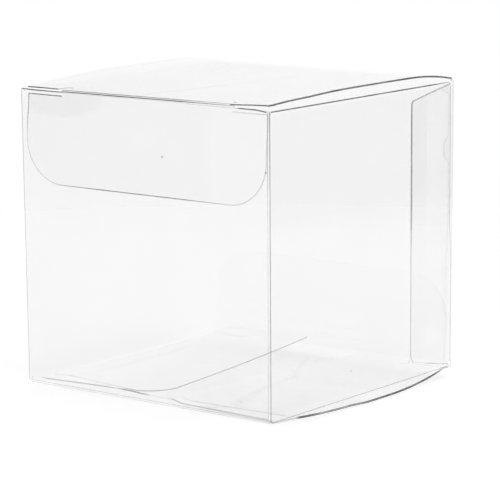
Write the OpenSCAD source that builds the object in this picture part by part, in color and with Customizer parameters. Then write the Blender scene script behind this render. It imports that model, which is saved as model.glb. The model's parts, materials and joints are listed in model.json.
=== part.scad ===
// Clear favor box: one creased sheet, glued at one seam, with a tuck lid and a tuck base.
// The origin is below the middle of the box, on the surface that it stands on.
// The front panel faces -Y, the lid turns on the back panel, and the base turns on the front panel.

/* [Box] */
// Outside width, left to right
box_w = 76; // [60:1:110]
// Outside depth, front to back
box_d = 76; // [66:1:110]
// Height of a side wall, from the axis of its lower fold to that of its upper fold
side_h = 72.15; // [60:0.05:120]

/* [Sheet] */
// Thickness of the sheet
sheet_t = 0.3; // [0.2:0.02:0.32]
// Outer radius of the bend at an upright corner
corner_r = 0.5; // [0.4:0.05:0.8]

/* [Folds] */
// Radius of a fold that a panel turns on
fold_r = 0.45; // [0.4:0.01:0.55]
// Clearance between a fold and the panel beside it
fold_gap = 0.05; // [0.03:0.01:0.1]
// Clearance at the end of a fold
fold_end_gap = 0.1; // [0.05:0.05:0.5]

/* [Lid] */
// Step from the side walls' upper folds up to the lid's fold
lid_step = 1; // [0.9:0.05:2]
// Step from the lid's fold down to the fold of its tuck flap
lid_dip = 0.2; // [0:0.05:0.3]
// Rise of the lid's middle above its back edge
lid_crown = 1.6; // [0.5:0.1:4]
// Distance from the lid's fold to the level middle of the lid
lid_back_l = 17.5; // [10:0.5:25]
// Length of the level middle of the lid
lid_level_l = 22; // [8:0.5:24]

/* [Base] */
// Step from the base's fold up to the side walls' lower folds
base_step = 0.65; // [0.6:0.05:2]
// Step from the base's fold up to the fold of its tuck flap
base_dip = 0.1; // [0:0.05:0.2]
// Drop of the base's middle below its front edge
base_bow = 2.35; // [0.5:0.05:4]
// Distance from the base's fold to the level middle of the base
base_front_l = 37.5; // [20:0.5:40]
// Length of the level middle of the base, which the box stands on
base_level_l = 12; // [6:0.5:14]

/* [Lid and base edges] */
// Distance that the free edges of the lid and the base lie inside the walls' outer faces
edge_inset = 0.25; // [0.1:0.05:0.6]
// Gap between a cut edge of a wall and the panel that closes on it
edge_gap = 0.15; // [0.1:0.05:0.6]
// Length of the slope at each end of such a cut edge, down to the corner beside it
edge_slope_l = 3.4; // [1:0.1:8]

/* [Tuck flaps] */
// Length of a tuck flap from its fold's axis
tuck_l = 23.2; // [18:0.1:30]
// Radius of a tuck flap's lower corners
tuck_corner_r = 11; // [4:0.5:16]
// Room between a tuck flap and the wall that it slides behind
tuck_room = 0.95; // [0.9:0.05:1.6]
// Room at each side of a tuck flap
tuck_side_room = 0.3; // [0.1:0.05:1]
// Length of the slit at each end of a tuck flap's fold
slit_l = 11.2; // [6:0.1:16]
// Drop of a tuck flap's shoulders below its fold's axis
shoulder_drop = 1.1; // [0.8:0.05:2]
// Radius of the curved end of a slit
slit_hook_r = 1.6; // [0.8:0.1:3]
// Width of the curved end of a slit
slit_hook_w = 0.25; // [0.15:0.05:0.5]

/* [Dust flaps] */
// Distance that the tip of a left dust flap stays off the middle of the box
left_flap_gap = 1.05; // [0.5:0.05:8]
// Distance that the tip of a right dust flap stays off the middle of the box
right_flap_gap = 3.55; // [0.5:0.05:8]
// Difference between the longest and the shortest reach of a dust flap
flap_slant = 8; // [0:0.5:12]
// Room between a left dust flap's wide end and the wall beside it
left_flap_room = 0.8; // [0.6:0.05:3]
// Room between a right dust flap's wide end and the wall beside it
right_flap_room = 4; // [0.6:0.1:6]
// Distance by which the wide end of a left dust flap draws in towards its tip
left_flap_taper = 3.2; // [0:0.1:6]
// Distance by which the wide end of a right dust flap draws in towards its tip
right_flap_taper = 0.6; // [0:0.1:6]
// Radius of the corner at a dust flap's wide end
flap_corner_r = 8; // [3:0.5:12]
// Room between a dust flap and the tuck flap beside it
flap_tuck_room = 0.65; // [0.5:0.05:2]

/* [Glue tab] */
// Width of the glue tab from the back panel's outer face
tab_w = 17.2; // [14:0.1:22]
// Clearance between the glue tab's ends and the folds above and below it
tab_end_gap = 0.1; // [0.05:0.05:1]
// Fall of the glue tab's upper end towards its free edge
tab_top_slant = 2.7; // [0:0.1:6]
// Rise of the glue tab's lower end towards its free edge
tab_bottom_slant = 2.6; // [0:0.1:6]
// Radius of the glue tab's upper corner
tab_top_r = 1.2; // [0.3:0.1:3]
// Radius of the glue tab's lower corner
tab_bottom_r = 2.5; // [1:0.1:5]

/* [Glue] */
// Thickness of the glue between the tab and the right panel
glue_t = 0.05; // [0.03:0.01:0.06]
// Distance from the glue tab's free edge to the glue
glue_edge = 6.5; // [2:0.1:7]
// Width of the strip of glue
glue_w = 9; // [2:0.1:9]
// Distance that the strip of glue stays off the tab's ends
glue_end = 6; // [4:0.1:12]

/* [Hidden] */

// Overrun of a cut past the solid that it cuts
overrun = 1;
// Overlap that joins a panel's free corners to its bowed middle
join_l = 0.4;

// Half sizes of the walls, and the inner face of a wall
half_w = box_w / 2;
half_d = box_d / 2;
inner_w = half_w - sheet_t;
inner_d = half_d - sheet_t;

// Distance from a fold's axis to the near edge of the panel beside it
panel_start = fold_r + fold_gap;

// Heights of the folds' axes
base_fold_z = base_bow + fold_r;
base_tuck_z = base_fold_z + base_dip;
low_fold_z = base_fold_z + base_step;
high_fold_z = low_fold_z + side_h;
lid_fold_z = high_fold_z + lid_step;
tuck_fold_z = lid_fold_z - lid_dip;

// Places of the folds' axes in plan
side_fold_x = half_w - fold_r;
panel_fold_y = half_d - fold_r;
tuck_fold_y = inner_d - tuck_room - fold_r;

// Cut edges of the front and back panels, under the lid and over the base
front_top_z = tuck_fold_z + fold_r - sheet_t - edge_gap;
back_bottom_z = base_tuck_z - fold_r + sheet_t + edge_gap;

// Ends of the upright corners
corner_bottom_z = low_fold_z - fold_r;
corner_top_z = high_fold_z + fold_r;

// Lengths of the folds
side_fold_l = box_d - 2 * (2 * fold_r + fold_end_gap);
panel_fold_l = box_w - 2 * (corner_r + fold_end_gap);
tuck_fold_l = box_w - 2 * (edge_inset + slit_l);

// The lid and the base
closer_w = box_w - 2 * edge_inset;
closer_edge_y = half_d - edge_inset;

// The glue tab lies on the right panel's inner face, on its layer of glue
tab_outer_x = inner_w - glue_t;
tab_bottom_z = low_fold_z + fold_r + tab_end_gap;
tab_top_z = high_fold_z - fold_r - tab_end_gap;
tab_edge_y = half_d - tab_w;
seam_bend_x = tab_outer_x - corner_r;
seam_bend_y = half_d - corner_r;

// A tuck flap stays clear of the glue tab
tuck_w = 2 * (tab_outer_x - sheet_t - tuck_side_room);

// The longest reach of each dust flap from its fold's axis
left_flap_l = side_fold_x - left_flap_gap;
right_flap_l = side_fold_x - right_flap_gap;

// The narrow end of a dust flap stays clear of the tuck flap's inner face
flap_narrow_y = tuck_fold_y + fold_r - sheet_t - flap_tuck_room;

clear_sheet = [0.93, 0.95, 0.96, 0.35];
clear_edge = [0.72, 0.75, 0.77, 0.6];
clear_glue = [0.85, 0.87, 0.88, 0.4];

fold_fn = 48;
bow_fn = 1440;
corner_steps = 14;

// Points of an arc about (x, y), from angle a to angle b
function arc(x, y, r, a, b) =
    [for (i = [0:corner_steps]) let (t = a + (b - a) * i / corner_steps) [x + r * cos(t), y + r * sin(t)]];

// Radius of an arc that falls by drop over the length l from its level end
function bow_r(l, drop) = (l * l + drop * drop) / (2 * drop);

// A flat sheet between two corners
module plate(low, high) {
    translate(low)
        cube(high - low);
}

// A fold of length l along X, centred
module fold_x(l) {
    rotate([0, 90, 0])
        cylinder(r = fold_r, h = l, center = true, $fn = fold_fn);
}

// A fold of length l along Y, centred
module fold_y(l) {
    rotate([90, 0, 0])
        cylinder(r = fold_r, h = l, center = true, $fn = fold_fn);
}

// The bend of the sheet at the +X +Y corner about the Z axis, from height bottom to height top
module upright_bend(bottom, top) {
    translate([0, 0, bottom])
        intersection() {
            difference() {
                cylinder(r = corner_r, h = top - bottom, $fn = fold_fn);
                translate([0, 0, -overrun])
                    cylinder(r = corner_r - sheet_t, h = top - bottom + 2 * overrun, $fn = fold_fn);
            }
            translate([0, 0, -overrun])
                cube([corner_r + overrun, corner_r + overrun, top - bottom + 2 * overrun]);
        }
}

// A bowed sheet that is level at height z from y = 0, and falls by drop over the length l towards -Y
module bow(l, drop, z) {
    r = bow_r(l, drop);
    intersection() {
        translate([0, 0, z - r])
            rotate([0, 90, 0])
                difference() {
                    cylinder(r = r, h = closer_w, center = true, $fn = bow_fn);
                    cylinder(r = r - sheet_t, h = closer_w + 2 * overrun, center = true, $fn = bow_fn);
                }
        translate([-half_w, -l, z - drop - 2 * sheet_t])
            cube([box_w, l, drop + 2 * sheet_t + overrun]);
    }
}

// The sheet of a lid whose fold's axis is at Y = panel_fold_y and height z, and whose free edge lies
// towards -Y. It rises by crown to its level middle, and its tuck flap's fold lies dip lower.
module closer(z, dip, crown, hinge_l, level_l) {
    hinge_y = panel_fold_y - panel_start;
    level_back_y = panel_fold_y - hinge_l;
    level_front_y = level_back_y - level_l;
    slope_end_y = -tuck_fold_y + panel_start;
    hinge_z = z + fold_r;
    edge_z = hinge_z - dip;
    level_z = hinge_z + crown;
    difference() {
        union() {
            translate([0, level_back_y, 0])
                mirror([0, 1, 0])
                    bow(hinge_y - level_back_y, crown, level_z);
            plate([-closer_w / 2, level_front_y, level_z - sheet_t], [closer_w / 2, level_back_y, level_z]);
            translate([0, level_front_y, 0])
                bow(level_front_y - slope_end_y, crown + dip, level_z);
            for (side = [-1, 1])
                translate([side * (closer_w - slit_l) / 2, 0, 0])
                    plate(
                        [-slit_l / 2, -closer_edge_y, edge_z - sheet_t],
                        [slit_l / 2, slope_end_y + join_l, edge_z]
                    );
        }
        for (side = [-1, 1])
            translate([side * (tuck_fold_l / 2 - slit_hook_r), slope_end_y, edge_z - sheet_t - overrun])
                slit_hook(side);
    }
}

// The curved end of a slit, which runs from the slit into the panel
module slit_hook(side) {
    intersection() {
        difference() {
            cylinder(r = slit_hook_r, h = sheet_t + 2 * overrun, $fn = fold_fn);
            cylinder(r = slit_hook_r - slit_hook_w, h = sheet_t + 2 * overrun, $fn = fold_fn);
        }
        translate([side > 0 ? 0 : -slit_hook_r, 0, 0])
            cube([slit_hook_r, slit_hook_r, sheet_t + 2 * overrun]);
    }
}

// A tuck flap that hangs from a fold's axis at the origin, with its outer face towards -Y
module tuck() {
    translate([0, -fold_r, 0])
        rotate([90, 0, 0])
            mirror([0, 0, 1])
                linear_extrude(sheet_t)
                    tuck_outline();
}

module tuck_outline() {
    translate([-tuck_fold_l / 2, -shoulder_drop])
        square([tuck_fold_l, shoulder_drop - panel_start]);
    translate([-tuck_w / 2, -tuck_l + tuck_corner_r])
        square([tuck_w, tuck_l - tuck_corner_r - shoulder_drop]);
    translate([-tuck_w / 2 + tuck_corner_r, -tuck_l])
        square([tuck_w - 2 * tuck_corner_r, tuck_corner_r]);
    for (side = [-1, 1])
        translate([side * (tuck_w / 2 - tuck_corner_r), -tuck_l + tuck_corner_r])
            intersection() {
                circle(r = tuck_corner_r, $fn = fold_fn);
                translate([side > 0 ? 0 : -tuck_corner_r, -tuck_corner_r])
                    square(tuck_corner_r);
            }
}

// A dust flap whose fold's axis is the Y axis, with its outer face down. It reaches the length l
// towards +X, and its wide end lies towards +Y, at room from the wall.
module dust_flap(l, room, taper) {
    wide_y = inner_d - room;
    tip_y = wide_y - taper;
    translate([0, 0, -fold_r])
        linear_extrude(sheet_t)
            polygon(concat(
                [[panel_start, -flap_narrow_y], [l - flap_slant, -flap_narrow_y]],
                arc(l - flap_corner_r, tip_y - flap_corner_r, flap_corner_r, 0, 90),
                [[panel_start, wide_y]]
            ));
}

module left_dust_flap() {
    translate([-side_fold_x, 0, 0])
        dust_flap(left_flap_l, left_flap_room, left_flap_taper);
}

module right_dust_flap() {
    translate([side_fold_x, 0, 0])
        mirror([1, 0, 0])
            dust_flap(right_flap_l, right_flap_room, right_flap_taper);
}

// The outline of a wall from its fold, at height fold_z, to its cut edge, at height cut_z, whose
// ends slope back to the corners' height, end_z. It reaches left and right from the middle.
module closed_on_outline(left, right, fold_z, end_z, cut_z) {
    polygon([
        [-left, fold_z], [right, fold_z], [right, end_z],
        [right - edge_slope_l, cut_z], [-left + edge_slope_l, cut_z], [-left, end_z]
    ]);
}

// The four walls
module front_panel() {
    color(clear_sheet)
        translate([0, -inner_d, 0])
            rotate([90, 0, 0])
                linear_extrude(sheet_t)
                    closed_on_outline(
                        half_w - corner_r, half_w - corner_r,
                        base_fold_z + panel_start, corner_top_z, front_top_z
                    );
}

module back_panel() {
    color(clear_sheet)
        translate([0, half_d, 0])
            rotate([90, 0, 0])
                linear_extrude(sheet_t)
                    closed_on_outline(
                        half_w - corner_r, seam_bend_x,
                        lid_fold_z - panel_start, corner_bottom_z, back_bottom_z
                    );
}

module left_panel() {
    color(clear_sheet)
        plate(
            [-half_w, -half_d + corner_r, low_fold_z + panel_start],
            [-inner_w, half_d - corner_r, high_fold_z - panel_start]
        );
}

module right_panel() {
    color(clear_sheet)
        plate(
            [inner_w, -half_d + corner_r, low_fold_z + panel_start],
            [half_w, half_d, high_fold_z - panel_start]
        );
}

// The bends between the walls, and the one between the back panel and the glue tab
module corner_fold_front_left() {
    color(clear_edge)
        translate([-half_w + corner_r, -half_d + corner_r, 0])
            rotate([0, 0, 180])
                upright_bend(corner_bottom_z, corner_top_z);
}

module corner_fold_front_right() {
    color(clear_edge)
        translate([half_w - corner_r, -half_d + corner_r, 0])
            rotate([0, 0, -90])
                upright_bend(corner_bottom_z, corner_top_z);
}

module corner_fold_back_left() {
    color(clear_edge)
        translate([-half_w + corner_r, half_d - corner_r, 0])
            rotate([0, 0, 90])
                upright_bend(corner_bottom_z, corner_top_z);
}

module seam_fold() {
    color(clear_edge)
        translate([seam_bend_x, seam_bend_y, 0])
            upright_bend(tab_bottom_z, tab_top_z);
}

// The glue tab, with slanted ends and round corners
module glue_tab() {
    reach = seam_bend_y - tab_edge_y;
    low_z = tab_bottom_z + tab_bottom_slant;
    high_z = tab_top_z - tab_top_slant;
    color(clear_sheet)
        translate([tab_outer_x - sheet_t, seam_bend_y, 0])
            rotate([90, 0, 90])
                linear_extrude(sheet_t)
                    polygon(concat(
                        [[0, tab_bottom_z], [0, tab_top_z]],
                        arc(-reach + tab_top_r, high_z - tab_top_r, tab_top_r, 90, 180),
                        arc(-reach + tab_bottom_r, low_z + tab_bottom_r, tab_bottom_r, 180, 270)
                    ));
}

// The strip of glue between the tab and the right panel
module seam_glue() {
    color(clear_glue)
        plate(
            [tab_outer_x, tab_edge_y + glue_edge, tab_bottom_z + glue_end],
            [inner_w, tab_edge_y + glue_edge + glue_w, tab_top_z - glue_end]
        );
}

// The folds that the lid, the base and the dust flaps turn on
module lid_fold() {
    color(clear_edge)
        translate([0, panel_fold_y, lid_fold_z])
            fold_x(panel_fold_l);
}

module base_fold() {
    color(clear_edge)
        translate([0, -panel_fold_y, base_fold_z])
            fold_x(panel_fold_l);
}

module top_fold_left() {
    color(clear_edge)
        translate([-side_fold_x, 0, high_fold_z])
            fold_y(side_fold_l);
}

module top_fold_right() {
    color(clear_edge)
        translate([side_fold_x, 0, high_fold_z])
            fold_y(side_fold_l);
}

module bottom_fold_left() {
    color(clear_edge)
        translate([-side_fold_x, 0, low_fold_z])
            fold_y(side_fold_l);
}

module bottom_fold_right() {
    color(clear_edge)
        translate([side_fold_x, 0, low_fold_z])
            fold_y(side_fold_l);
}

// The lid and its tuck flap
module lid_panel() {
    color(clear_sheet)
        closer(lid_fold_z, lid_dip, lid_crown, lid_back_l, lid_level_l);
}

module tuck_fold() {
    color(clear_edge)
        translate([0, -tuck_fold_y, tuck_fold_z])
            fold_x(tuck_fold_l);
}

module tuck_flap() {
    color(clear_sheet)
        translate([0, -tuck_fold_y, tuck_fold_z])
            tuck();
}

// The base and its tuck flap, which are built as the lid is and turned over to the front
module base_panel() {
    color(clear_sheet)
        rotate([180, 0, 0])
            closer(-base_fold_z, base_dip, base_bow, base_front_l, base_level_l);
}

module base_tuck_fold() {
    color(clear_edge)
        translate([0, tuck_fold_y, base_tuck_z])
            fold_x(tuck_fold_l);
}

module base_tuck_flap() {
    color(clear_sheet)
        translate([0, tuck_fold_y, base_tuck_z])
            rotate([180, 0, 0])
                tuck();
}

// The dust flaps: wide at the back on top, and wide at the front below
module top_dust_flap_left() {
    color(clear_sheet)
        translate([0, 0, high_fold_z])
            mirror([0, 0, 1])
                left_dust_flap();
}

module top_dust_flap_right() {
    color(clear_sheet)
        translate([0, 0, high_fold_z])
            mirror([0, 0, 1])
                right_dust_flap();
}

module bottom_dust_flap_left() {
    color(clear_sheet)
        translate([0, 0, low_fold_z])
            mirror([0, 1, 0])
                left_dust_flap();
}

module bottom_dust_flap_right() {
    color(clear_sheet)
        translate([0, 0, low_fold_z])
            mirror([0, 1, 0])
                right_dust_flap();
}

front_panel();
right_panel();
back_panel();
left_panel();
corner_fold_front_left();
corner_fold_front_right();
corner_fold_back_left();
seam_fold();
glue_tab();
seam_glue();
lid_fold();
base_fold();
top_fold_left();
top_fold_right();
bottom_fold_left();
bottom_fold_right();
lid_panel();
tuck_fold();
tuck_flap();
base_panel();
base_tuck_fold();
base_tuck_flap();
top_dust_flap_left();
top_dust_flap_right();
bottom_dust_flap_left();
bottom_dust_flap_right();
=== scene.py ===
"""Dresses the clear favor box: one clear glossy sheet with dark cut edges, creases and a glued
seam.

Lengths are in metres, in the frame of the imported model: Z is up and the front panel faces -Y.
"""
import json
import math

import bmesh
import bpy
from mathutils import Matrix, Vector

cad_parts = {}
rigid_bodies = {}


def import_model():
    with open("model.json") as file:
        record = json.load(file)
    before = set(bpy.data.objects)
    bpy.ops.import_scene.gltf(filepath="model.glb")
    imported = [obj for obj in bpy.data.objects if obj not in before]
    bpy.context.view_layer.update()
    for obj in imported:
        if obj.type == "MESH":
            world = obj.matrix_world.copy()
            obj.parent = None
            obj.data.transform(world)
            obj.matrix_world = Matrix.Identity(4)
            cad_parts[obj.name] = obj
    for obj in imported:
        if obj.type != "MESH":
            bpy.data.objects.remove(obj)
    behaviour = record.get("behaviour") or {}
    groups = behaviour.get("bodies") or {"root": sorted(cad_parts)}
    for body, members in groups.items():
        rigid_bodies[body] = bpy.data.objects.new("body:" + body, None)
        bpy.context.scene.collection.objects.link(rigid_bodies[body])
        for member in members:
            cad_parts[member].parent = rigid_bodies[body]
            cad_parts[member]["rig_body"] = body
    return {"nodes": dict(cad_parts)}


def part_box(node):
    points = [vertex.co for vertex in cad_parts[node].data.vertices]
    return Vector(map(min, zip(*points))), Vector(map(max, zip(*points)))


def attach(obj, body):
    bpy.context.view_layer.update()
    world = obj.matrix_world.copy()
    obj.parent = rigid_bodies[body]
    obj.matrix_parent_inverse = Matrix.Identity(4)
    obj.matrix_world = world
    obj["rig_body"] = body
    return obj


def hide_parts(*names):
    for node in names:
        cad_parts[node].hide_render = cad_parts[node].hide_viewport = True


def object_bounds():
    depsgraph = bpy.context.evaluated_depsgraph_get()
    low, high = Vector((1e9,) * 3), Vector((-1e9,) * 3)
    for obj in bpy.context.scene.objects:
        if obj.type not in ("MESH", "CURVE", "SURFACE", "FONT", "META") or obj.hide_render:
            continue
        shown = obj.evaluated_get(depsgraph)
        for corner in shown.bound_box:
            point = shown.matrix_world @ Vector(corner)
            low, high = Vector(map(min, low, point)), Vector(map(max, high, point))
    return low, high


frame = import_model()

CAD_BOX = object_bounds()
NODES = frame["nodes"]
MM = 0.001

# The photograph's view: azimuth, elevation and roll in degrees, the camera's place, and its lens
VIEW_AZ, VIEW_EL, VIEW_ROLL = 37.758, 10.129, -0.351
CAMERA_PLACE = Vector((407.01, -521.75, 152.7)) * MM
LENS_MM, SENSOR_MM = 192.49, 36.0

# The floor is a disc of this radius, and the plain white backdrop begins behind it
FLOOR_R = 0.285
FLOOR_SIDES = 128
FLOOR_GREY = 0.9
# The glow that makes the floor white, and how much more it glows in front of the box and to its
# right, growing from the first distance off the box's middle to the second. This extra glow is
# painted light, which thins the box's shadow on the floor there
FLOOR_GLOW = 0.285
FRONT_PAINTED_LIGHT, FRONT_PAINTED_LIGHT_Y = 0.058, (20 * MM, 32 * MM)
RIGHT_PAINTED_LIGHT, RIGHT_PAINTED_LIGHT_X = 0.05, (5 * MM, 44 * MM)
# The strength of the world's soft light, and each lamp's name, place and watts
WORLD_LIGHT = 0.55
LAMP_SIZE = 0.7
LAMPS = (("key_lamp", (0.25, 0.12, 1.05), 2.6), ("fill_lamp", (-0.2, 0.1, 1.05), 1.2))
# A ray through the closed box passes more than a dozen clear faces
MOST_CLEAR_FACES = 64

# Half the width and half the depth of the walls
HALF_W = 38 * MM

# A strong cut edge shows a thin rim on the sheet's outer face, whose dark is painted like the
# edge's
RIM_W = 0.25 * MM
# The cut edges of the lid and the base have a burr, which stands this far above or below the sheet.
# The base's burr makes its dark cut edge taller, painted shade that stands in for the edge's
# refraction and its contact shadow on the floor
BURR_W = 0.2 * MM
LID_BURR = 0.07 * MM
BASE_BURR = 0.25 * MM
# An edge that lies this close to a fold is joined to it, and shows no line
JOINED_REACH = 0.12 * MM
# An edge this close to the end of a tuck flap's fold is part of the notch there, and shows no line,
# except on the lid
NOTCH_REACH = 0.6 * MM
# Faces that meet at more than this angle, in degrees, meet in a sharp edge, and faces that meet at
# less than the second one are one flat face
SHARP_ANGLE, FLAT_ANGLE = 30, 0.5
# Points closer than this are one point, and a cut keeps points that lie this close to it
MERGE_GAP, CUT_GAP = 0.001 * MM, 0.0001 * MM

# The bow of the lid and the base is cut into a grid of this step, so that it can bend further
GRID_STEP = 4 * MM

# The lid's free corners spring up, and its right side lies higher than its left
SPRING_LEFT, SPRING_RIGHT = 0.5 * MM, 0.55 * MM
FOLD_RISE = 0.2 * MM
# Its left side draws in at the free corner, and its right back corner reaches out to the seam, as
# the end of its fold does
CORNER_DRAW = 1.2 * MM
LID_REACH = 0.7 * MM
# The right side of the base stays a little up at the front
BASE_RAISE = 0.4 * MM
# The tuck flaps lean out against their walls, from the first depth past their fold to the second,
# and their left edge spreads
TUCK_LEAN = 0.85 * MM
LEAN_START, LEAN_END = 1.2 * MM, 11 * MM
TUCK_SPREAD = 0.35 * MM
# The left dust flap at the bottom is held up by the base, in full at this distance from its fold,
# and more so towards the back, where its tip also reaches further
FLAP_RAISE, FLAP_BACK_RAISE = 0.5 * MM, 1.6 * MM
FLAP_RAISE_L = 6 * MM
FLAP_BACK_REACH = 4.2 * MM
# The front edge of each dust flap at the bottom draws back towards its fold, and the left one's
# does so up to this share of the way to its tip
LEFT_FLAP_DRAW, RIGHT_FLAP_DRAW = 6.9 * MM, 2.6 * MM
LEFT_DRAW_SHARE = 1 / 1.2
# The fold at the right wall's bottom sags, more at the front than at the back
LOW_FOLD_SAG = 0.5 * MM, 0.25 * MM
# The left wall leans out, this far at its bottom and at its top, and its top front corner rises
LEAN_BOTTOM, LEAN_TOP = 0.2 * MM, 1.0 * MM
CORNER_RISE = 0.5 * MM
# The glue tab's ends reach further than a flat one's: the upper end, the lower end at the free
# edge, and the lower end at the seam. They start to do so at the first distance from the end, and
# do so in full at the second
TAB_TOP_REACH, TAB_LOW_REACH, TAB_SEAM_REACH = 0.45 * MM, 0.3 * MM, 0.9 * MM
TAB_END_START, TAB_END_FULL = 12 * MM, 3 * MM
# The bend at the seam goes on up to the lid's fold and down towards the base
SEAM_REACH, SEAM_LOW_REACH = 1.2 * MM, 1.5 * MM
# The bend at the seam bulges out to the back, with the back panel and the tab beside it, from none
# at the first distance off the box's middle, in X and in Y, to all of it at the second. It also
# bulges to the right, less at the bottom than at the top
SEAM_BULGE = 0.55 * MM
BULGE_START, BULGE_END = 26 * MM, 37 * MM
SEAM_OUT_LOW, SEAM_OUT_HIGH = 0.35 * MM, 0.75 * MM
BULGED = ("back_panel", "seam_fold", "glue_tab")
# The right panel's free edge beside the seam draws back to the front, from this Y on, and from the
# first height up to the second
RIGHT_EDGE_DRAW = 0.5 * MM
RIGHT_EDGE_START, RIGHT_EDGE_Z = 30 * MM, (28 * MM, 42 * MM)

# The folds of the one sheet that each panel is joined to
JOINED_TO = {
    "front_panel": ("corner_fold_front_left", "corner_fold_front_right", "base_fold"),
    "right_panel": ("corner_fold_front_right", "top_fold_right", "bottom_fold_right"),
    "back_panel": ("corner_fold_back_left", "seam_fold", "lid_fold"),
    "left_panel": (
        "corner_fold_front_left", "corner_fold_back_left", "top_fold_left", "bottom_fold_left",
    ),
    "glue_tab": ("seam_fold",),
    "lid_panel": ("lid_fold", "tuck_fold"),
    "tuck_flap": ("tuck_fold",),
    "base_panel": ("base_fold", "base_tuck_fold"),
    "base_tuck_flap": ("base_tuck_fold",),
    "top_dust_flap_left": ("top_fold_left",),
    "top_dust_flap_right": ("top_fold_right",),
    "bottom_dust_flap_left": ("bottom_fold_left",),
    "bottom_dust_flap_right": ("bottom_fold_right",),
}

BODY_OF = {node: obj["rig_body"] for node, obj in NODES.items()}
LEFT, RIGHT = Vector((-1, 0, 0)), Vector((1, 0, 0))
FRONT, BACK = Vector((0, -1, 0)), Vector((0, 1, 0))
DOWN, UP = Vector((0, 0, -1)), Vector((0, 0, 1))
SHEET_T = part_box("front_panel")[1].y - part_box("front_panel")[0].y


def smooth_step(value, start, end):
    """0 up to start and 1 from end on, with a smooth rise between them."""
    share = min(max((value - start) / (end - start), 0), 1)
    return share * share * (3 - 2 * share)


# Shader nodes

def new_material(name):
    """A material with nothing in it but its output, as (material, node tree, output)."""
    material = bpy.data.materials.new(name)
    material.use_nodes = True
    tree = material.node_tree
    tree.nodes.clear()
    return material, tree, tree.nodes.new("ShaderNodeOutputMaterial")


def add(tree, kind, inputs=(), **settings):
    """A new node whose inputs are set from (name or number, value or socket) pairs."""
    node = tree.nodes.new("ShaderNode" + kind)
    for key, value in settings.items():
        setattr(node, key, value)
    for key, value in inputs:
        if isinstance(value, bpy.types.NodeSocket):
            tree.links.new(value, node.inputs[key])
        else:
            node.inputs[key].default_value = value
    return node


def math_node(tree, operation, *values):
    """The result of a Math node."""
    return add(tree, "Math", enumerate(values), operation=operation).outputs[0]


def object_place(tree):
    """The point that is shaded, in the part's own frame."""
    return add(tree, "TexCoord").outputs["Object"]


def noise(tree, scale, detail):
    """Smooth noise from 0 to 1, with about scale features in a metre."""
    node = add(tree, "TexNoise", [
        ("Vector", object_place(tree)), ("Scale", scale), ("Detail", detail),
    ])
    return node.outputs["Fac"]


def ramp(tree, value, start, end, low=0.0, high=1.0):
    """A smooth step of value, from low at start to high at end."""
    node = add(tree, "MapRange", [
        ("Value", value), ("From Min", start), ("From Max", end), ("To Min", low), ("To Max", high),
    ], interpolation_type="SMOOTHSTEP")
    return node.outputs["Result"]


def coordinate(tree, axis):
    """One coordinate, X, Y or Z, of the point that is shaded."""
    return add(tree, "SeparateXYZ", [("Vector", object_place(tree))]).outputs[axis]


def spot(tree, centre, radii, soft):
    """1 inside an ellipsoid about centre, falling to 0 at its surface over the share soft of its
    radius."""
    away = add(tree, "VectorMath", [(0, object_place(tree)), (1, centre)], operation="SUBTRACT")
    shrunk = add(tree, "VectorMath", [
        (0, away.outputs[0]), (1, [1 / r for r in radii]),
    ], operation="MULTIPLY")
    length = add(tree, "VectorMath", [(0, shrunk.outputs[0])], operation="LENGTH").outputs["Value"]
    return ramp(tree, length, 1 - soft, 1.0, 1.0, 0.0)


LINE_CORE = 0.3


def near_line(tree, value, line, reach):
    """1 where value lies on line or less than LINE_CORE of reach away, falling to 0 at reach."""
    away = math_node(tree, "ABSOLUTE", math_node(tree, "SUBTRACT", value, line))
    return ramp(tree, away, reach * LINE_CORE, reach, 1.0, 0.0)


# Materials of the clear sheet

WHITE = (1, 1, 1, 1)
# The share of light that a face mirrors head on, and how late the rest comes at a glancing angle
GLOSS_AT_FRONT = 0.04
GLOSS_POWER = 5
# The sheet's soft clouds: features in a metre, and how much less light passes their darkest
CLOUD_SCALE, CLOUD_DEPTH = 55.0, 0.012
# The sheet's fine scuffs: features in a metre, and the roughness where it is smoothest and roughest
SCUFF_SCALE, SMOOTHEST, ROUGHEST = 900.0, 0.03, 0.16
# The sheet's waves, which bend its reflections: features in a metre, strength and height
WAVE_SCALE, WAVE_STRENGTH, WAVE_HEIGHT = 70.0, 0.15, 0.2 * MM
# A dark line is uneven, and fades to this share where it is weakest
UNEVEN_SCALE, UNEVEN_LOW = 160.0, 0.82
# The light that passes a dark line's clear part, and how much bluer than grey its dark part is
LINE_CLEAR, LINE_BLUE, LINE_ROUGHNESS = 0.985, 1.03, 0.3


def gloss_share(tree):
    """How much of the light a clear face mirrors: little head on, and all at a glancing angle."""
    facing = add(tree, "LayerWeight", [("Blend", 0.5)]).outputs["Facing"]
    steep = math_node(tree, "POWER", facing, GLOSS_POWER)
    return math_node(tree, "MULTIPLY_ADD", steep, 1 - GLOSS_AT_FRONT, GLOSS_AT_FRONT)


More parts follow.
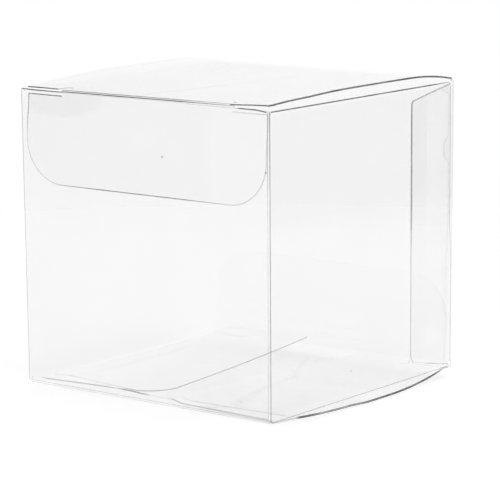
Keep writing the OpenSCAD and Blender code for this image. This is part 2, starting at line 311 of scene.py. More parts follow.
def clear_sheet(name, pass_share, dim=(), gloss_factor=1.0):
    """Clear glossy sheet. pass_share of the light passes a face, less each mask's own amount.
    dim is a list of (function that makes the mask, amount)."""
    material, tree, out = new_material(name)
    cloud = noise(tree, CLOUD_SCALE, 3.0)
    share = math_node(tree, "MULTIPLY_ADD", cloud, -CLOUD_DEPTH, pass_share + CLOUD_DEPTH / 2)
    for mask, amount in dim:
        share = math_node(tree, "MULTIPLY_ADD", mask(tree), -amount, share)
    tint = add(tree, "CombineColor", [("Red", share), ("Green", share), ("Blue", share)])
    passed = add(tree, "BsdfTransparent", [("Color", tint.outputs[0])])
    scuff = ramp(tree, noise(tree, SCUFF_SCALE, 4.0), 0.45, 0.8, SMOOTHEST, ROUGHEST)
    bump = add(tree, "Bump", [
        ("Strength", WAVE_STRENGTH), ("Distance", WAVE_HEIGHT),
        ("Height", noise(tree, WAVE_SCALE, 1.0)),
    ])
    gloss = add(tree, "BsdfAnisotropic", [
        ("Color", WHITE), ("Roughness", scuff), ("Normal", bump.outputs[0]),
    ])
    mirrored = math_node(tree, "MULTIPLY", gloss_share(tree), gloss_factor)
    mix = add(tree, "MixShader", [(0, mirrored), (1, passed.outputs[0]), (2, gloss.outputs[0])])
    tree.links.new(mix.outputs[0], out.inputs["Surface"])
    return material


def dark_line(name, cover, grey, fade=None, faded=0.0, two_sided=False):
    """A cut edge or a crease, which hides the share cover of what lies behind it, or of that only
    the share faded where the mask fade is 1. The cut edge and the crease are real, and their dark
    is painted: it stands in for the dark surroundings that the sheet refracts there. Unless it is
    two_sided, its other side is clear, because light from behind passes on through the sheet."""
    material, tree, out = new_material(name)
    uneven = ramp(tree, noise(tree, UNEVEN_SCALE, 3.0), 0.3, 0.7, UNEVEN_LOW, 1.0)
    share = math_node(tree, "MULTIPLY", uneven, cover)
    if not two_sided:
        front = math_node(tree, "SUBTRACT", 1.0, add(tree, "NewGeometry").outputs["Backfacing"])
        share = math_node(tree, "MULTIPLY", share, front)
    if fade:
        kept = math_node(tree, "MULTIPLY_ADD", fade(tree), faded - 1, 1.0)
        share = math_node(tree, "MULTIPLY", share, kept)
    clear = add(tree, "BsdfTransparent", [("Color", (LINE_CLEAR, LINE_CLEAR, LINE_CLEAR, 1))])
    dark = add(tree, "BsdfPrincipled", [
        ("Base Color", (grey, grey, grey * LINE_BLUE, 1)), ("Roughness", LINE_ROUGHNESS),
    ])
    mix = add(tree, "MixShader", [(0, share), (1, clear.outputs[0]), (2, dark.outputs[0])])
    tree.links.new(mix.outputs[0], out.inputs["Surface"])
    return material


def joint_face():
    """The meeting face of a panel and its fold, where the sheet goes on and nothing shows."""
    material, tree, out = new_material("joint_face")
    clear = add(tree, "BsdfTransparent", [("Color", WHITE)])
    tree.links.new(clear.outputs[0], out.inputs["Surface"])
    return material


# Masks of the sheet, in the part's own frame. Each is a function that adds its nodes to a tree.

# The radius of a dust speck, and the share of it that is soft
SPECK_R, SPECK_SOFT = 0.4 * MM, 0.6


def stretch(axis, start, end):
    """A mask that rises from 0 at start to 1 at end, two places on an axis in millimetres."""
    return lambda tree: ramp(tree, coordinate(tree, axis), start * MM, end * MM)


def speck(x, y, z):
    """A mask of a dust speck at a place of the sheet, in millimetres."""
    return lambda tree: spot(tree, Vector((x, y, z)) * MM, [SPECK_R] * 3, SPECK_SOFT)


# The side or the end of a piece that looks different from the rest of it
mask_right_top = stretch("Z", 44, 52)
mask_lid_left = stretch("X", 6, -16)
mask_tuck_left = stretch("X", 21, 18)
mask_tuck_right = stretch("X", 8, 28)
mask_crease_end = stretch("Y", 30, 36)
mask_off_flap_tip = stretch("X", -8, -12)
mask_seam_high = stretch("Z", 40, 50)
mask_above_end = stretch("Z", 3.9, 4.7)
mask_corner_low = stretch("Z", 62, 54)
mask_low_half = stretch("Z", 40, 30)


def mask_front_score(tree):
    """The score line along the front panel's bottom, on its outer face. It climbs from the left to
    the middle and then falls in three steps, and it is darkest in the middle."""
    x = coordinate(tree, "X")
    line = ramp(tree, x, -36 * MM, -8 * MM, 4.1 * MM, 4.75 * MM)
    for start, end, fall in ((-7, 2, -0.3), (8, 12.5, -0.7), (13, 36, -0.25)):
        step = ramp(tree, x, start * MM, end * MM, 0.0, fall * MM)
        line = math_node(tree, "ADD", line, step)
    near = near_line(tree, coordinate(tree, "Z"), line, 0.24 * MM)
    outer = ramp(tree, coordinate(tree, "Y"), -37.8 * MM, -37.9 * MM)
    middle = near_line(tree, x, -4 * MM, 7 * MM)
    left = ramp(tree, x, -8.5 * MM, -10.5 * MM, 0.0, 0.65)
    right = ramp(tree, x, 6.5 * MM, 9 * MM, 0.12, 0.6)
    strength = math_node(tree, "MAXIMUM", middle, math_node(tree, "MAXIMUM", left, right))
    end = ramp(tree, x, -35.5 * MM, -31.5 * MM)
    for share in (outer, strength, end):
        near = math_node(tree, "MULTIPLY", near, share)
    return near


def mask_tuck_patch(tree):
    """The darker patch in the upper left corner of the tuck flap."""
    return spot(tree, Vector((-28, -37, 75.5)) * MM, [v * MM for v in (17, 50, 6.5)], 0.35)


def mask_tuck_sides(tree):
    """The tuck flap's sides, without the top of the left one."""
    x = coordinate(tree, "X")
    away = math_node(tree, "ABSOLUTE", math_node(tree, "ADD", x, 3 * MM))
    high = ramp(tree, coordinate(tree, "Z"), 64 * MM, 72 * MM)
    left_top = math_node(tree, "MULTIPLY", ramp(tree, x, -20 * MM, -24 * MM), high)
    return math_node(tree, "SUBTRACT", ramp(tree, away, 10 * MM, 30 * MM), left_top)


def mask_tab_band(tree):
    """The stretch of the tab beside its free edge, which looks darker in its upper half."""
    band = ramp(tree, coordinate(tree, "Y"), 27.9 * MM, 27.2 * MM)
    high = ramp(tree, coordinate(tree, "Z"), 38 * MM, 58 * MM, 0.1, 1.0)
    return math_node(tree, "MULTIPLY", band, high)


def glue_edge(tree):
    """How far a point of the tab lies past the wavy edge of the squeezed glue, towards the seam."""
    z = coordinate(tree, "Z")
    edge = math_node(tree, "MULTIPLY_ADD", noise(tree, 120.0, 1.0), 0.3 * MM, 37.25 * MM)
    edge = math_node(tree, "ADD", edge, ramp(tree, z, 44 * MM, 20 * MM, 0.0, -1.5 * MM))
    for middle, reach, depth in ((59.0, 4.0, 2.2), (75.5, 2.8, 4.0)):
        bulge = near_line(tree, z, middle * MM, reach * MM)
        edge = math_node(tree, "MULTIPLY_ADD", bulge, -depth * MM, edge)
    return math_node(tree, "SUBTRACT", coordinate(tree, "Y"), edge)


def mask_squeezed_glue(tree):
    """The squeezed glue beside the seam, which shows most in its upper half."""
    high = ramp(tree, coordinate(tree, "Z"), 44 * MM, 56 * MM, 0.1, 1.0)
    return math_node(tree, "MULTIPLY", ramp(tree, glue_edge(tree), -0.1 * MM, 0.15 * MM), high)


def mask_glue_line(tree):
    """The edge of the squeezed glue, which fades towards the bottom."""
    high = ramp(tree, coordinate(tree, "Z"), 22 * MM, 46 * MM, 0.2, 1.0)
    return math_node(tree, "MULTIPLY", near_line(tree, glue_edge(tree), 0.0, 0.28 * MM), high)


def mask_under_fold(tree):
    """The stretch of the front panel's cut edge that lies under the lid's front fold."""
    x = coordinate(tree, "X")
    left, right = ramp(tree, x, -26.5 * MM, -24.5 * MM), ramp(tree, x, 30 * MM, 28 * MM)
    return math_node(tree, "MULTIPLY", left, right)


def mask_tab_low(tree):
    """The lower half of the tab, without its end."""
    z = coordinate(tree, "Z")
    low_half, above_end = ramp(tree, z, 46 * MM, 34 * MM), ramp(tree, z, 4.8 * MM, 6.2 * MM)
    return math_node(tree, "MULTIPLY", low_half, above_end)


def mask_base_weak(tree):
    """Where the base's cut edges look weak: at both ends, and a little in the middle."""
    y = coordinate(tree, "Y")
    middle = math_node(tree, "MULTIPLY", near_line(tree, y, -10 * MM, 16 * MM), 0.3)
    back = ramp(tree, y, 31 * MM, 36.5 * MM, 0.0, 0.8)
    ends = math_node(tree, "MAXIMUM", ramp(tree, y, -25.5 * MM, -28 * MM), back)
    return math_node(tree, "MAXIMUM", ends, middle)


# The masks that lessen the light through a panel, each with its amount
FRONT_DIM = [
    (mask_front_score, 0.6), (speck(6.1, -38, 63.0), 0.4), (speck(37.1, -38, 61.9), 0.35),
]
RIGHT_DIM = [
    (mask_right_top, 0.0115), (speck(38, -5.5, 9.4), 0.2), (speck(38, 12.5, 55.6), 0.08),
]
TAB_DIM = [(mask_tab_band, 0.02), (mask_squeezed_glue, 0.03), (mask_glue_line, 0.11)]

# How much light passes a face of each panel, and the masks that lessen it
TONES = {
    "front_panel": (0.98, FRONT_DIM),
    "right_panel": (0.975, RIGHT_DIM),
    "back_panel": (0.975, []),
    "left_panel": (0.975, []),
    "glue_tab": (0.981, TAB_DIM),
    "lid_panel": (0.948, [(mask_lid_left, 0.016)]),
    "tuck_flap": (0.992, [(mask_tuck_left, 0.009), (mask_tuck_patch, 0.03)]),
    "base_panel": (0.993, []),
    "base_tuck_flap": (0.992, []),
    "top_dust_flap_left": (0.999, []),
    "top_dust_flap_right": (0.999, []),
    "bottom_dust_flap_left": (0.994, []),
    "bottom_dust_flap_right": (0.994, []),
}

# The flaps right under the lid, which are seen at a glancing angle with it, mirror less light
GLOSS_FACTORS = {"top_dust_flap_left": 0.2, "top_dust_flap_right": 0.2}

FOLD_CLEAR = clear_sheet("fold_clear", 0.985)
# The folds' creases and ends are real lines; their dark is painted, standing in for the dark
# surroundings that the sheet refracts where it bends
FOLD_END = dark_line("fold_end", 0.2, 0.06)
FOLD_END_STRONG = dark_line("fold_end_strong", 0.45, 0.04)
CREASE = dark_line("crease", 0.95, 0.03)
CREASE_SOFT = dark_line("crease_soft", 0.55, 0.05)
CREASE_LIGHT = dark_line("crease_light", 0.3, 0.06)
CREASE_LOW = dark_line("crease_low", 0.8, 0.05)
CREASE_CORNER = dark_line("crease_corner", 0.8, 0.04, mask_corner_low, 0.85)
CREASE_CORNER_SOFT = dark_line("crease_corner_soft", 0.7, 0.04, mask_corner_low, 0.45)
CREASE_SEAM = dark_line("crease_seam", 0.9, 0.06, mask_above_end, 0.53)
CREASE_THROUGH = dark_line("crease_through", 0.56, 0.04, two_sided=True)
CREASE_TUCK = dark_line("crease_tuck", 0.95, 0.03, mask_tuck_right, 0.4)
CREASE_RIGHT_TOP = dark_line("crease_right_top", 0.95, 0.03, mask_crease_end, 0.45)
SEAM_CLEAR = clear_sheet("seam_clear", 0.98, [(mask_seam_high, 0.06)])
JOINT = joint_face()

# The cut edges and rims are real; their dark is painted, standing in for the dark surroundings that
# the sheet refracts at its cuts
EDGE_STRONG = dark_line("cut_edge", 0.97, 0.02)
EDGE_TUCK = dark_line("cut_edge_tuck", 0.8, 0.03, mask_tuck_sides, 0.12)
EDGE_HOOK = dark_line("cut_edge_hook", 0.35, 0.05)
EDGE_LIGHT = dark_line("cut_edge_light", 0.15, 0.05)
EDGE_FAINT = dark_line("cut_edge_faint", 0.1, 0.06)
EDGE_TAB = dark_line("cut_edge_tab", 0.9, 0.03, mask_tab_low, 0.45)
EDGE_FRONT = dark_line("cut_edge_front", 0.97, 0.02, mask_under_fold, 0.2)
# The base's dark cut edge is painted shade: it stands in for the edge's refraction and its contact
# shadow on the floor
EDGE_BASE = dark_line("cut_edge_base", 0.97, 0.02, mask_base_weak, 0.28)
EDGE_LEFT_FLAP = dark_line("cut_edge_left_flap", 0.45, 0.04, mask_off_flap_tip, 0.3)
RIM_STRONG = dark_line("cut_rim", 0.7, 0.03)
RIM_SEAM = dark_line("cut_rim_seam", 0.7, 0.03, mask_low_half, 0.55)
RIM_TUCK = dark_line("cut_rim_tuck", 0.85, 0.03, mask_tuck_sides, 0.4)
RIM_TAB = dark_line("cut_rim_tab", 0.45, 0.04, mask_tab_low, 0.1)
RIM_FRONT = dark_line("cut_rim_front", 0.95, 0.03, mask_under_fold, 0.1)

# The axis that each flat panel's thickness lies along, the way that it faces outwards, and the
# materials of its outer rim, if it shows one, and of its cut edges
FLAT_PANELS = {
    "front_panel": (1, -1, RIM_FRONT, EDGE_FRONT),
    "back_panel": (1, 1, RIM_STRONG, EDGE_STRONG),
    "left_panel": (0, -1, RIM_STRONG, EDGE_STRONG),
    "right_panel": (0, 1, RIM_SEAM, EDGE_STRONG),
    "glue_tab": (0, 1, RIM_TAB, EDGE_TAB),
    "tuck_flap": (1, -1, RIM_TUCK, EDGE_TUCK),
    "base_tuck_flap": (1, 1, None, EDGE_FAINT),
    "top_dust_flap_left": (2, 1, None, EDGE_FAINT),
    "top_dust_flap_right": (2, 1, None, EDGE_FAINT),
    "bottom_dust_flap_left": (2, -1, None, EDGE_LEFT_FLAP),
    "bottom_dust_flap_right": (2, -1, None, EDGE_LIGHT),
}


# Meshes of the sheet

# The places of a panel's materials: the clear sheet, its cut edges, its joints with folds, and its
# rim or its slits
SHEET_AT, EDGE_AT, JOINT_AT, EXTRA_AT = range(4)
# A face lies flat on an axis, stands across it or runs along it, as its normal has more than the
# first or the second share, or less than the third, on that axis
FLAT_SHARE, ACROSS_SHARE, ALONG_SHARE = 0.7, 0.9, 0.5


def wall_lean(point):
    """How far a point of the walls moves, as the left wall leans out and its front corner rises."""
    high = point.z / CAD_BOX[1][2]
    left = smooth_step(-point.x, 20 * MM, 37 * MM)
    out = LEFT * left * (LEAN_BOTTOM + (LEAN_TOP - LEAN_BOTTOM) * high)
    corner = smooth_step(-point.x, 33 * MM, HALF_W) * smooth_step(-point.y, 20 * MM, HALF_W)
    return out + UP * CORNER_RISE * corner * smooth_step(high, 0.8, 0.95)


def seam_bulge(point):
    """How far a point of the back panel, the seam's bend or the glue tab moves to the back."""
    at_right = smooth_step(point.x, BULGE_START, BULGE_END)
    at_back = smooth_step(point.y, BULGE_START, BULGE_END)
    return BACK * SEAM_BULGE * at_right * at_back


def bend_bulge(point):
    """How far a point of the seam's bend moves to the right, from none at the back panel."""
    out = SEAM_OUT_LOW + (SEAM_OUT_HIGH - SEAM_OUT_LOW) * smooth_step(point.z, 25 * MM, 60 * MM)
    return RIGHT * out * smooth_step(point.x, 36.6 * MM, 37.4 * MM)


def place_piece(name, mesh, materials, node):
    """Makes a piece of a mesh that stands for a CAD node and rides on its body."""
    if BODY_OF[node] == "walls":
        for vert in mesh.vertices:
            vert.co += wall_lean(vert.co)
    if node in BULGED:
        for vert in mesh.vertices:
            move = seam_bulge(vert.co)
            if node == "seam_fold":
                move += bend_bulge(vert.co)
            vert.co += move
    for material in materials:
        mesh.materials.append(material)
    piece = bpy.data.objects.new(name, mesh)
    bpy.context.scene.collection.objects.link(piece)
    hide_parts(node)
    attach(piece, BODY_OF[node])


def copy_of(node):
    """A copy of a CAD node's mesh, for editing."""
    bm = bmesh.new()
    bm.from_mesh(NODES[node].data)
    bmesh.ops.remove_doubles(bm, verts=bm.verts, dist=MERGE_GAP)
    return bm


def mesh_from(bm, name):
    """Ends the editing of a mesh, with its sharp edges marked."""
    bm.normal_update()
    for edge in bm.edges:
        if len(edge.link_faces) == 2:
            edge.smooth = edge.calc_face_angle() < math.radians(SHARP_ANGLE)
    mesh = bpy.data.meshes.new(name)
    bm.to_mesh(mesh)
    bm.free()
    return mesh


def box_gap(point, low, high):
    """How far a point lies outside a box."""
    return math.sqrt(sum(max(low[i] - point[i], 0, point[i] - high[i]) ** 2 for i in range(3)))


def is_joined(node, point, normal):
    """True if an edge face lies on one of the folds that the panel is joined to, or in the notch at
    the end of a tuck flap's fold."""
    for fold in JOINED_TO[node]:
        low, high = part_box(fold)
        size = high - low
        along = max(range(3), key=lambda i: size[i])
        gap = box_gap(point, low, high)
        if abs(normal[along]) < ALONG_SHARE and gap < JOINED_REACH:
            return True
        if fold in ("tuck_fold", "base_tuck_fold") and node != "lid_panel" and gap < NOTCH_REACH:
            if abs(normal[along]) > ACROSS_SHARE:
                return True
    return False


def mark_edges(bm, node, across):
    """Gives the sheet's large faces its clear material, and the others an edge's or a joint's."""
    for face in bm.faces:
        if abs(face.normal[across]) > FLAT_SHARE:
            face.material_index = SHEET_AT
            face.smooth = True
        else:
            joined = is_joined(node, face.calc_center_median(), face.normal)
            face.material_index = JOINT_AT if joined else EDGE_AT


def cut(bm, axis, value):
    """Cuts the mesh's faces at one value of an axis."""
    point, normal = Vector(), Vector()
    point[axis], normal[axis] = value, 1
    everything = bm.verts[:] + bm.edges[:] + bm.faces[:]
    bmesh.ops.bisect_plane(bm, geom=everything, dist=CUT_GAP, plane_co=point, plane_no=normal)


def dressed(bm, node, edge, extra):
    """Makes the piece of a panel. extra is the material of its rim or its slits, or None."""
    pass_share, dim = TONES[node]
    sheet = clear_sheet(node + "_sheet", pass_share, dim, GLOSS_FACTORS.get(node, 1.0))
    materials = [sheet, edge, JOINT]
    if extra:
        materials.append(extra)
    place_piece(node + "_dressed", mesh_from(bm, node), materials, node)


def flat_panel(node, bend=None, cuts=()):
    """Makes a flat panel of the sheet. bend moves its points, once it is cut at each (axis, value)
    of cuts."""
    across, outward, rim, edge = FLAT_PANELS[node]
    bm = copy_of(node)
    flat = math.radians(FLAT_ANGLE)
    bmesh.ops.dissolve_limit(bm, angle_limit=flat, verts=bm.verts, edges=bm.edges)
    bm.normal_update()
    mark_edges(bm, node, across)
    outer = [
        f for f in bm.faces
        if rim and f.material_index == SHEET_AT and f.normal[across] * outward > 0
    ]
    for large in outer:
        ring = bmesh.ops.inset_region(bm, faces=[large], thickness=RIM_W, use_even_offset=True)
        for face in ring["faces"]:
            beside = [g for e in face.edges for g in e.link_faces if g is not face]
            at_cut = any(g.material_index == EDGE_AT for g in beside)
            face.material_index = EXTRA_AT if at_cut else SHEET_AT
    for axis, value in cuts:
        cut(bm, axis, value)
    if bend:
        for vert in bm.verts:
            vert.co += bend(vert.co)
    dressed(bm, node, edge, rim)


def bowed_panel(node, tuck_fold, bend, burr, edge, slit_edge):
    """Makes the lid or the base: its bow is cut into a grid, bend moves its points, and burr says
    how far its cut edges stand above and below the sheet. Its slits end at its tuck flap's fold."""
    bm = copy_of(node)
    low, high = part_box(node)
    cut(bm, 0, low.x + BURR_W)
    cut(bm, 0, high.x - BURR_W)
    for axis in (0, 1):
        size = high[axis] - low[axis]
        count = round(size / GRID_STEP)
        for i in range(1, count):
            cut(bm, axis, low[axis] + size * i / count)
    bm.normal_update()
    mark_edges(bm, node, 2)
    slit_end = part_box(tuck_fold)[1].x + JOINED_REACH
    for face in bm.faces:
        if face.material_index == EDGE_AT and abs(face.calc_center_median().x) < slit_end:
            face.material_index = EXTRA_AT
    rise_above, drop_below = burr
    for vert in bm.verts:
        at_side = abs(vert.co.x) > high.x - BURR_W / 2
        if at_side:
            vert.co.z += rise_above if vert.normal.z > 0 else -drop_below
    for vert in bm.verts:
        vert.co += bend(vert.co)
    dressed(bm, node, edge, slit_edge)


def lid_bend(point):
    """How far a point of the lid moves, as its free corners spring up and its right side rises."""
    x, y, _ = point
    reach = LID_REACH * smooth_step(x, 26 * MM, HALF_W) * smooth_step(y, 10 * MM, 37 * MM)
    front = smooth_step(-y, 0, HALF_W)
    corner = smooth_step(-y, 20 * MM, 37 * MM)
    left = SPRING_LEFT * smooth_step(-x, 21 * MM, 28 * MM)
    right = SPRING_RIGHT * smooth_step(x, 22 * MM, HALF_W)
    draw = CORNER_DRAW * corner * smooth_step(-x, 30 * MM, HALF_W)
    rise = front * FOLD_RISE * x / HALF_W + corner * (left + right)
    return RIGHT * (draw + reach) + UP * rise


def base_bend(point):
    """How far a point of the base moves, as its right side stays up at the front."""
    side = smooth_step(point.x, 8 * MM, 36 * MM)
    along = smooth_step(point.y, -36 * MM, -27 * MM) * smooth_step(-point.y, -3 * MM, 6 * MM)
    return UP * BASE_RAISE * side * along


def leaning_flap(node, fold, wall_side, tip_way):
    """Makes a tuck flap that leans out to its wall. tip_way is 1 if it points up, or -1."""
    low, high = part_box(fold)
    fold_z = (low.z + high.z) / 2

    def bend(point):
        depth = (point.z - fold_z) * tip_way
        lean = wall_side * TUCK_LEAN * smooth_step(depth, LEAN_START, LEAN_END)
        return lean + LEFT * TUCK_SPREAD * smooth_step(-point.x, 26 * MM, 37 * MM)

    depths = [LEAN_START + (LEAN_END - LEAN_START) * i / 5 for i in range(6)]
    flat_panel(node, bend, [(2, fold_z + tip_way * depth) for depth in depths])


def raised_flap(node):
    """Makes the left dust flap at the bottom, whose fold lies at its low X end."""
    low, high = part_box(node)

    def bend(point):
        out = smooth_step(point.x, low.x, low.x + FLAP_RAISE_L)
        back = (point.y - low.y) / (high.y - low.y)
        share = (point.x - low.x) / (high.x - low.x)
        draw = LEFT_FLAP_DRAW * max(1 - share / LEFT_DRAW_SHARE, 0)
        draw *= smooth_step(-point.y, 12 * MM, 33 * MM)
        up = out * (FLAP_RAISE + FLAP_BACK_RAISE * back * back)
        return RIGHT * FLAP_BACK_REACH * back * share + BACK * draw + UP * up

    cuts = [(0, low.x + FLAP_RAISE_L * i / 4) for i in range(1, 5)]
    cuts.append((0, low.x + (high.x - low.x) * LEFT_DRAW_SHARE))
    cuts += [(1, low.y + (high.y - low.y) * i / 6) for i in range(1, 6)]
    flat_panel(node, bend, cuts)


def drawn_flap(node):
    """Makes the right dust flap at the bottom, whose fold lies at its high X end."""
    low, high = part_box(node)

    def bend(point):
        near_fold = (point.x - low.x) / (high.x - low.x)
        return BACK * RIGHT_FLAP_DRAW * near_fold * smooth_step(-point.y, 15 * MM, 33 * MM)

    flat_panel(node, bend, [(1, -33 * MM + 3 * MM * i) for i in range(1, 6)])


def right_edge_bend(point):
    """How far a point of the right panel moves, as its free edge draws back in its upper half."""
    at_edge = smooth_step(point.y, RIGHT_EDGE_START, HALF_W)
    return FRONT * RIGHT_EDGE_DRAW * at_edge * smooth_step(point.z, *RIGHT_EDGE_Z)


def reaching_tab(node):
    """Makes the glue tab, whose ends reach a little further than a flat one's."""
    low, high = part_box(node)

    def bend(point):
        at_seam = (point.y - low.y) / (high.y - low.y)
        below = TAB_LOW_REACH + (TAB_SEAM_REACH - TAB_LOW_REACH) * at_seam
        at_top = smooth_step(point.z, high.z - TAB_END_START, high.z - TAB_END_FULL)
        at_low = smooth_step(-point.z, -low.z - TAB_END_START, -low.z - TAB_END_FULL)
        return UP * (TAB_TOP_REACH * at_top - below * at_low)

    cuts = [(2, low.z + TAB_END_START), (2, high.z - TAB_END_START), (1, 28 * MM), (1, 32 * MM)]
    flat_panel(node, bend, cuts)


# Meshes of the folds

# The steps, in degrees, that a roll and an upright bend are cut in, and how far off a line's sides
# such a cut has to be
ROLL_STEP = 10
BEND_STEP = 9
LINE_GAP = 1
# The angles, in degrees, that a roll's turn starts and ends at
TURN_START, TURN_END = -90, 270


def strip_angles(first, last, step, lines):
    """The angles, in degrees, that a round is cut at: a steady step, and each line's two sides."""
    count = round((last - first) / step)
    angles = {first + (last - first) * i / count for i in range(count + 1)}
    for middle, width, _ in lines:
        angles = {a for a in angles if abs(a - middle) > width / 2 + LINE_GAP}
        angles |= {middle - width / 2, middle + width / 2}
    return sorted(angles)


def line_at(angle, lines):
    """The number of the line that an angle lies in, from 1, or 0 for none."""
    for number, (middle, width, _) in enumerate(lines, 1):
        if abs(angle - middle) < width / 2:
            return number
    return 0


def fold_piece(bm, node, materials):
    """Makes the piece of a fold."""
    bmesh.ops.recalc_face_normals(bm, faces=bm.faces)
    place_piece(node + "_dressed", mesh_from(bm, node), materials, node)


def roll_fold(
    node, wall_side, panel_side, lines, end_material=FOLD_END, rise=(0.0, 0.0), reach=0.0,
):
    """Makes a fold that a panel turns on: a clear roll with crease lines along it, each given as
    the angle of its middle, its width in degrees and its material. The angle is measured from
    wall_side towards panel_side. rise is how much the low and the high end of the roll rise, and
    reach lengthens its high end."""
    low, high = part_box(node)
    centre, size = (low + high) / 2, high - low
    along = max(range(3), key=lambda i: size[i])
    radius = min(size) / 2
    angles = strip_angles(TURN_START, TURN_END, ROLL_STEP, lines)[:-1]
    bm = bmesh.new()
    rings = []
    for value, up in zip((low[along], high[along] + reach), rise):
        end = centre.copy()
        end[along] = value
        end.z += up
        rings.append([
            bm.verts.new(end + radius * (
                wall_side * math.cos(math.radians(a)) + panel_side * math.sin(math.radians(a))
            )) for a in angles
        ])
    for i, angle in enumerate(angles):
        j = (i + 1) % len(angles)
        face = bm.faces.new([rings[0][i], rings[0][j], rings[1][j], rings[1][i]])
        next_angle = angles[j] if j else TURN_END
        face.material_index = line_at((angle + next_angle) / 2, lines)
        face.smooth = True
    for ring in rings:
        bm.faces.new(ring).material_index = len(lines) + 1
    materials = [FOLD_CLEAR, *(line[2] for line in lines), end_material]
    fold_piece(bm, node, materials)


def upright_bend(node, side_a, side_b, lines, above=0.0, below=0.0, clear=FOLD_CLEAR):
    """Makes the bend of the sheet at an upright corner: a quarter of a tube with crease lines along
    it, as on a roll. The angle of a line is measured from side_a towards side_b. above and below
    lengthen its ends, and clear is its material between the lines."""
    low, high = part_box(node)
    radius = high.x - low.x
    centre = Vector((
        low.x if side_a.x + side_b.x > 0 else high.x,
        low.y if side_a.y + side_b.y > 0 else high.y,
        0,
    ))
    angles = strip_angles(0, 90, BEND_STEP, lines)
    bm = bmesh.new()
    columns = []
    for angle in angles:
        out = side_a * math.cos(math.radians(angle)) + side_b * math.sin(math.radians(angle))
        columns.append([
            bm.verts.new(centre + out * r + UP * z)
            for r, z in (
                (radius, low.z - below), (radius, high.z + above),
                (radius - SHEET_T, high.z + above), (radius - SHEET_T, low.z - below),
            )
        ])
    for i in range(len(angles) - 1):
        one, two = columns[i], columns[i + 1]
        for k in range(4):
            face = bm.faces.new([one[k], two[k], two[(k + 1) % 4], one[(k + 1) % 4]])
            if k == 0:
                face.material_index = line_at((angles[i] + angles[i + 1]) / 2, lines)
            face.smooth = k in (0, 2)
    for column in (columns[0], columns[-1]):
        bm.faces.new(column)
    fold_piece(bm, node, [clear, *(line[2] for line in lines)])


# The pieces

for panel in ("front_panel", "left_panel", "top_dust_flap_left", "top_dust_flap_right"):
    flat_panel(panel)
flat_panel("back_panel", cuts=[(0, BULGE_START), (0, 30 * MM), (0, 34 * MM)])
right_low, right_high = RIGHT_EDGE_Z
flat_panel(
    "right_panel", right_edge_bend,
    [(1, RIGHT_EDGE_START), (1, 34 * MM), (2, right_low), (2, 35 * MM), (2, right_high)],
)
reaching_tab("glue_tab")
drawn_flap("bottom_dust_flap_right")
raised_flap("bottom_dust_flap_left")
leaning_flap("tuck_flap", "tuck_fold", FRONT, -1)
leaning_flap("base_tuck_flap", "base_tuck_fold", BACK, 1)
bowed_panel("lid_panel", "tuck_fold", lid_bend, (LID_BURR, LID_BURR), EDGE_STRONG, EDGE_HOOK)
bowed_panel("base_panel", "base_tuck_fold", base_bend, (BASE_BURR, 0.0), EDGE_BASE, EDGE_FAINT)

roll_fold("top_fold_right", RIGHT, UP, [(45, 50, CREASE_RIGHT_TOP)])
roll_fold("top_fold_left", LEFT, UP, [(45, 50, CREASE)])
roll_fold(
    "bottom_fold_right", RIGHT, DOWN, [(48, 50, CREASE_LOW)], rise=[-sag for sag in LOW_FOLD_SAG],
)
roll_fold("bottom_fold_left", LEFT, DOWN, [(48, 50, CREASE_LOW)])
roll_fold("lid_fold", BACK, UP, [(45, 36, CREASE)], FOLD_END_STRONG, reach=LID_REACH)
fold_rise = FOLD_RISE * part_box("tuck_fold")[1].x / HALF_W
roll_fold(
    "tuck_fold", FRONT, UP, [(7, 33, CREASE_TUCK), (72, 50, CREASE_TUCK)],
    rise=(-fold_rise, fold_rise),
)
roll_fold("base_fold", FRONT, DOWN, [(-45, 14, CREASE_SOFT), (15, 20, CREASE_LIGHT)])
roll_fold("base_tuck_fold", BACK, DOWN, [(45, 36, CREASE_SOFT)])

upright_bend(
    "corner_fold_front_right", FRONT, RIGHT, [(9, 18, CREASE_CORNER_SOFT), (76, 28, CREASE_CORNER)],
)
upright_bend(
    "corner_fold_front_left", FRONT, LEFT,
    [(13, 22, CREASE_CORNER), (50, 20, CREASE_THROUGH), (81, 18, CREASE_CORNER_SOFT)],
)
upright_bend(
    "corner_fold_back_left", BACK, LEFT, [(14, 28, CREASE_CORNER), (81, 18, CREASE_CORNER_SOFT)],
)
upright_bend(
    "seam_fold", BACK, RIGHT, [(20, 30, CREASE_CORNER_SOFT), (75, 30, CREASE_SEAM)],
    SEAM_REACH, SEAM_LOW_REACH, SEAM_CLEAR,
)

NODES["seam_glue"].data.materials.clear()
NODES["seam_glue"].data.materials.append(clear_sheet("glue_film", 0.995))


# Floor, light and camera

def seen_directly(tree):
    """1 for what the camera sees, also in a reflection or through the sheet, or 0."""
    path = add(tree, "LightPath")
    seen = math_node(tree, "MAXIMUM", path.outputs["Is Camera Ray"], path.outputs["Is Glossy Ray"])
    return math_node(tree, "MAXIMUM", seen, path.outputs["Is Transmission Ray"])


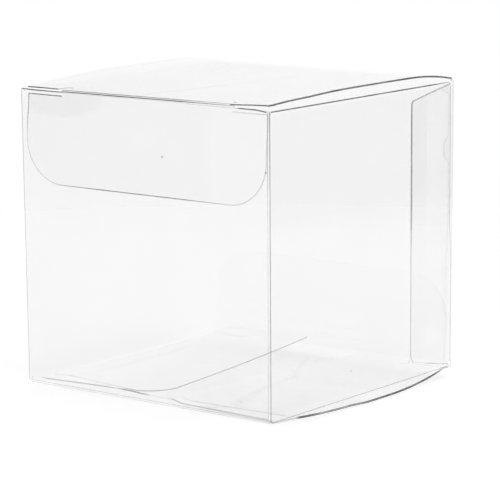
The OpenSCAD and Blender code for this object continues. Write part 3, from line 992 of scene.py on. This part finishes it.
def floor():
    """A pale floor, which keeps the box's shadow and is otherwise as white as the backdrop. In
    front of the box and to its right it glows more, painted light that thins the box's shadow
    there."""
    bm = bmesh.new()
    bmesh.ops.create_circle(bm, cap_ends=True, segments=FLOOR_SIDES, radius=FLOOR_R)
    mesh = mesh_from(bm, "floor")
    material, tree, out = new_material("floor_white")
    diffuse = add(tree, "BsdfDiffuse", [("Color", (FLOOR_GREY, FLOOR_GREY, FLOOR_GREY, 1))])
    # Painted light: the floor glows more in front of the box and to its right, thinning the box's
    # shadow there
    start, end = FRONT_PAINTED_LIGHT_Y
    strength = ramp(tree, coordinate(tree, "Y"), -start, -end, FLOOR_GLOW, FLOOR_GLOW + FRONT_PAINTED_LIGHT)
    painted_right_glow = ramp(tree, coordinate(tree, "X"), *RIGHT_PAINTED_LIGHT_X, 0.0, RIGHT_PAINTED_LIGHT)
    strength = math_node(tree, "ADD", strength, painted_right_glow)
    glow = add(tree, "Emission", [("Color", WHITE), ("Strength", strength)])
    lit = add(tree, "AddShader", [(0, diffuse.outputs[0]), (1, glow.outputs[0])])
    mix = add(tree, "MixShader", [
        (0, seen_directly(tree)), (1, diffuse.outputs[0]), (2, lit.outputs[0]),
    ])
    tree.links.new(mix.outputs[0], out.inputs["Surface"])
    mesh.materials.append(material)
    obj = bpy.data.objects.new("floor", mesh)
    bpy.context.scene.collection.objects.link(obj)


def backdrop():
    """The world: plain white where it is seen, and a plain soft light elsewhere."""
    world = bpy.data.worlds.new("studio")
    bpy.context.scene.world = world
    world.use_nodes = True
    tree = world.node_tree
    tree.nodes.clear()
    strength = math_node(tree, "MULTIPLY_ADD", seen_directly(tree), 1 - WORLD_LIGHT, WORLD_LIGHT)
    light = add(tree, "Background", [("Color", WHITE), ("Strength", strength)])
    out = add(tree, "OutputWorld")
    tree.links.new(light.outputs[0], out.inputs["Surface"])


def lamp(name, place, watts):
    """A soft square lamp that points at the middle of the box."""
    data = bpy.data.lights.new(name, "AREA")
    data.size = LAMP_SIZE
    data.energy = watts
    obj = bpy.data.objects.new(name, data)
    bpy.context.scene.collection.objects.link(obj)
    place = Vector(place)
    obj.location = place
    aim = Vector((0, 0, (CAD_BOX[0][2] + CAD_BOX[1][2]) / 2))
    obj.rotation_euler = (aim - place).to_track_quat("-Z", "Y").to_euler()


def camera():
    """The camera at the photograph's place, angle and lens."""
    az, el, roll = (math.radians(v) for v in (VIEW_AZ, VIEW_EL, VIEW_ROLL))
    behind = Vector((math.sin(az) * math.cos(el), -math.cos(az) * math.cos(el), math.sin(el)))
    level = Vector((math.cos(az), math.sin(az), 0))
    above = behind.cross(level)
    side = level * math.cos(roll) + above * math.sin(roll)
    above = above * math.cos(roll) - level * math.sin(roll)
    data = bpy.data.cameras.new("camera")
    data.sensor_width = SENSOR_MM
    data.lens = LENS_MM
    data.clip_start = 0.01
    obj = bpy.data.objects.new("camera", data)
    bpy.context.scene.collection.objects.link(obj)
    turn = Matrix((side, above, behind)).transposed()
    obj.matrix_world = Matrix.Translation(CAMERA_PLACE) @ turn.to_4x4()
    bpy.context.scene.camera = obj


floor()
backdrop()
for lamp_name, lamp_place, lamp_watts in LAMPS:
    lamp(lamp_name, lamp_place, lamp_watts)
camera()

scene = bpy.context.scene
scene.view_settings.view_transform = "Standard"
scene.cycles.transparent_max_bounces = MOST_CLEAR_FACES
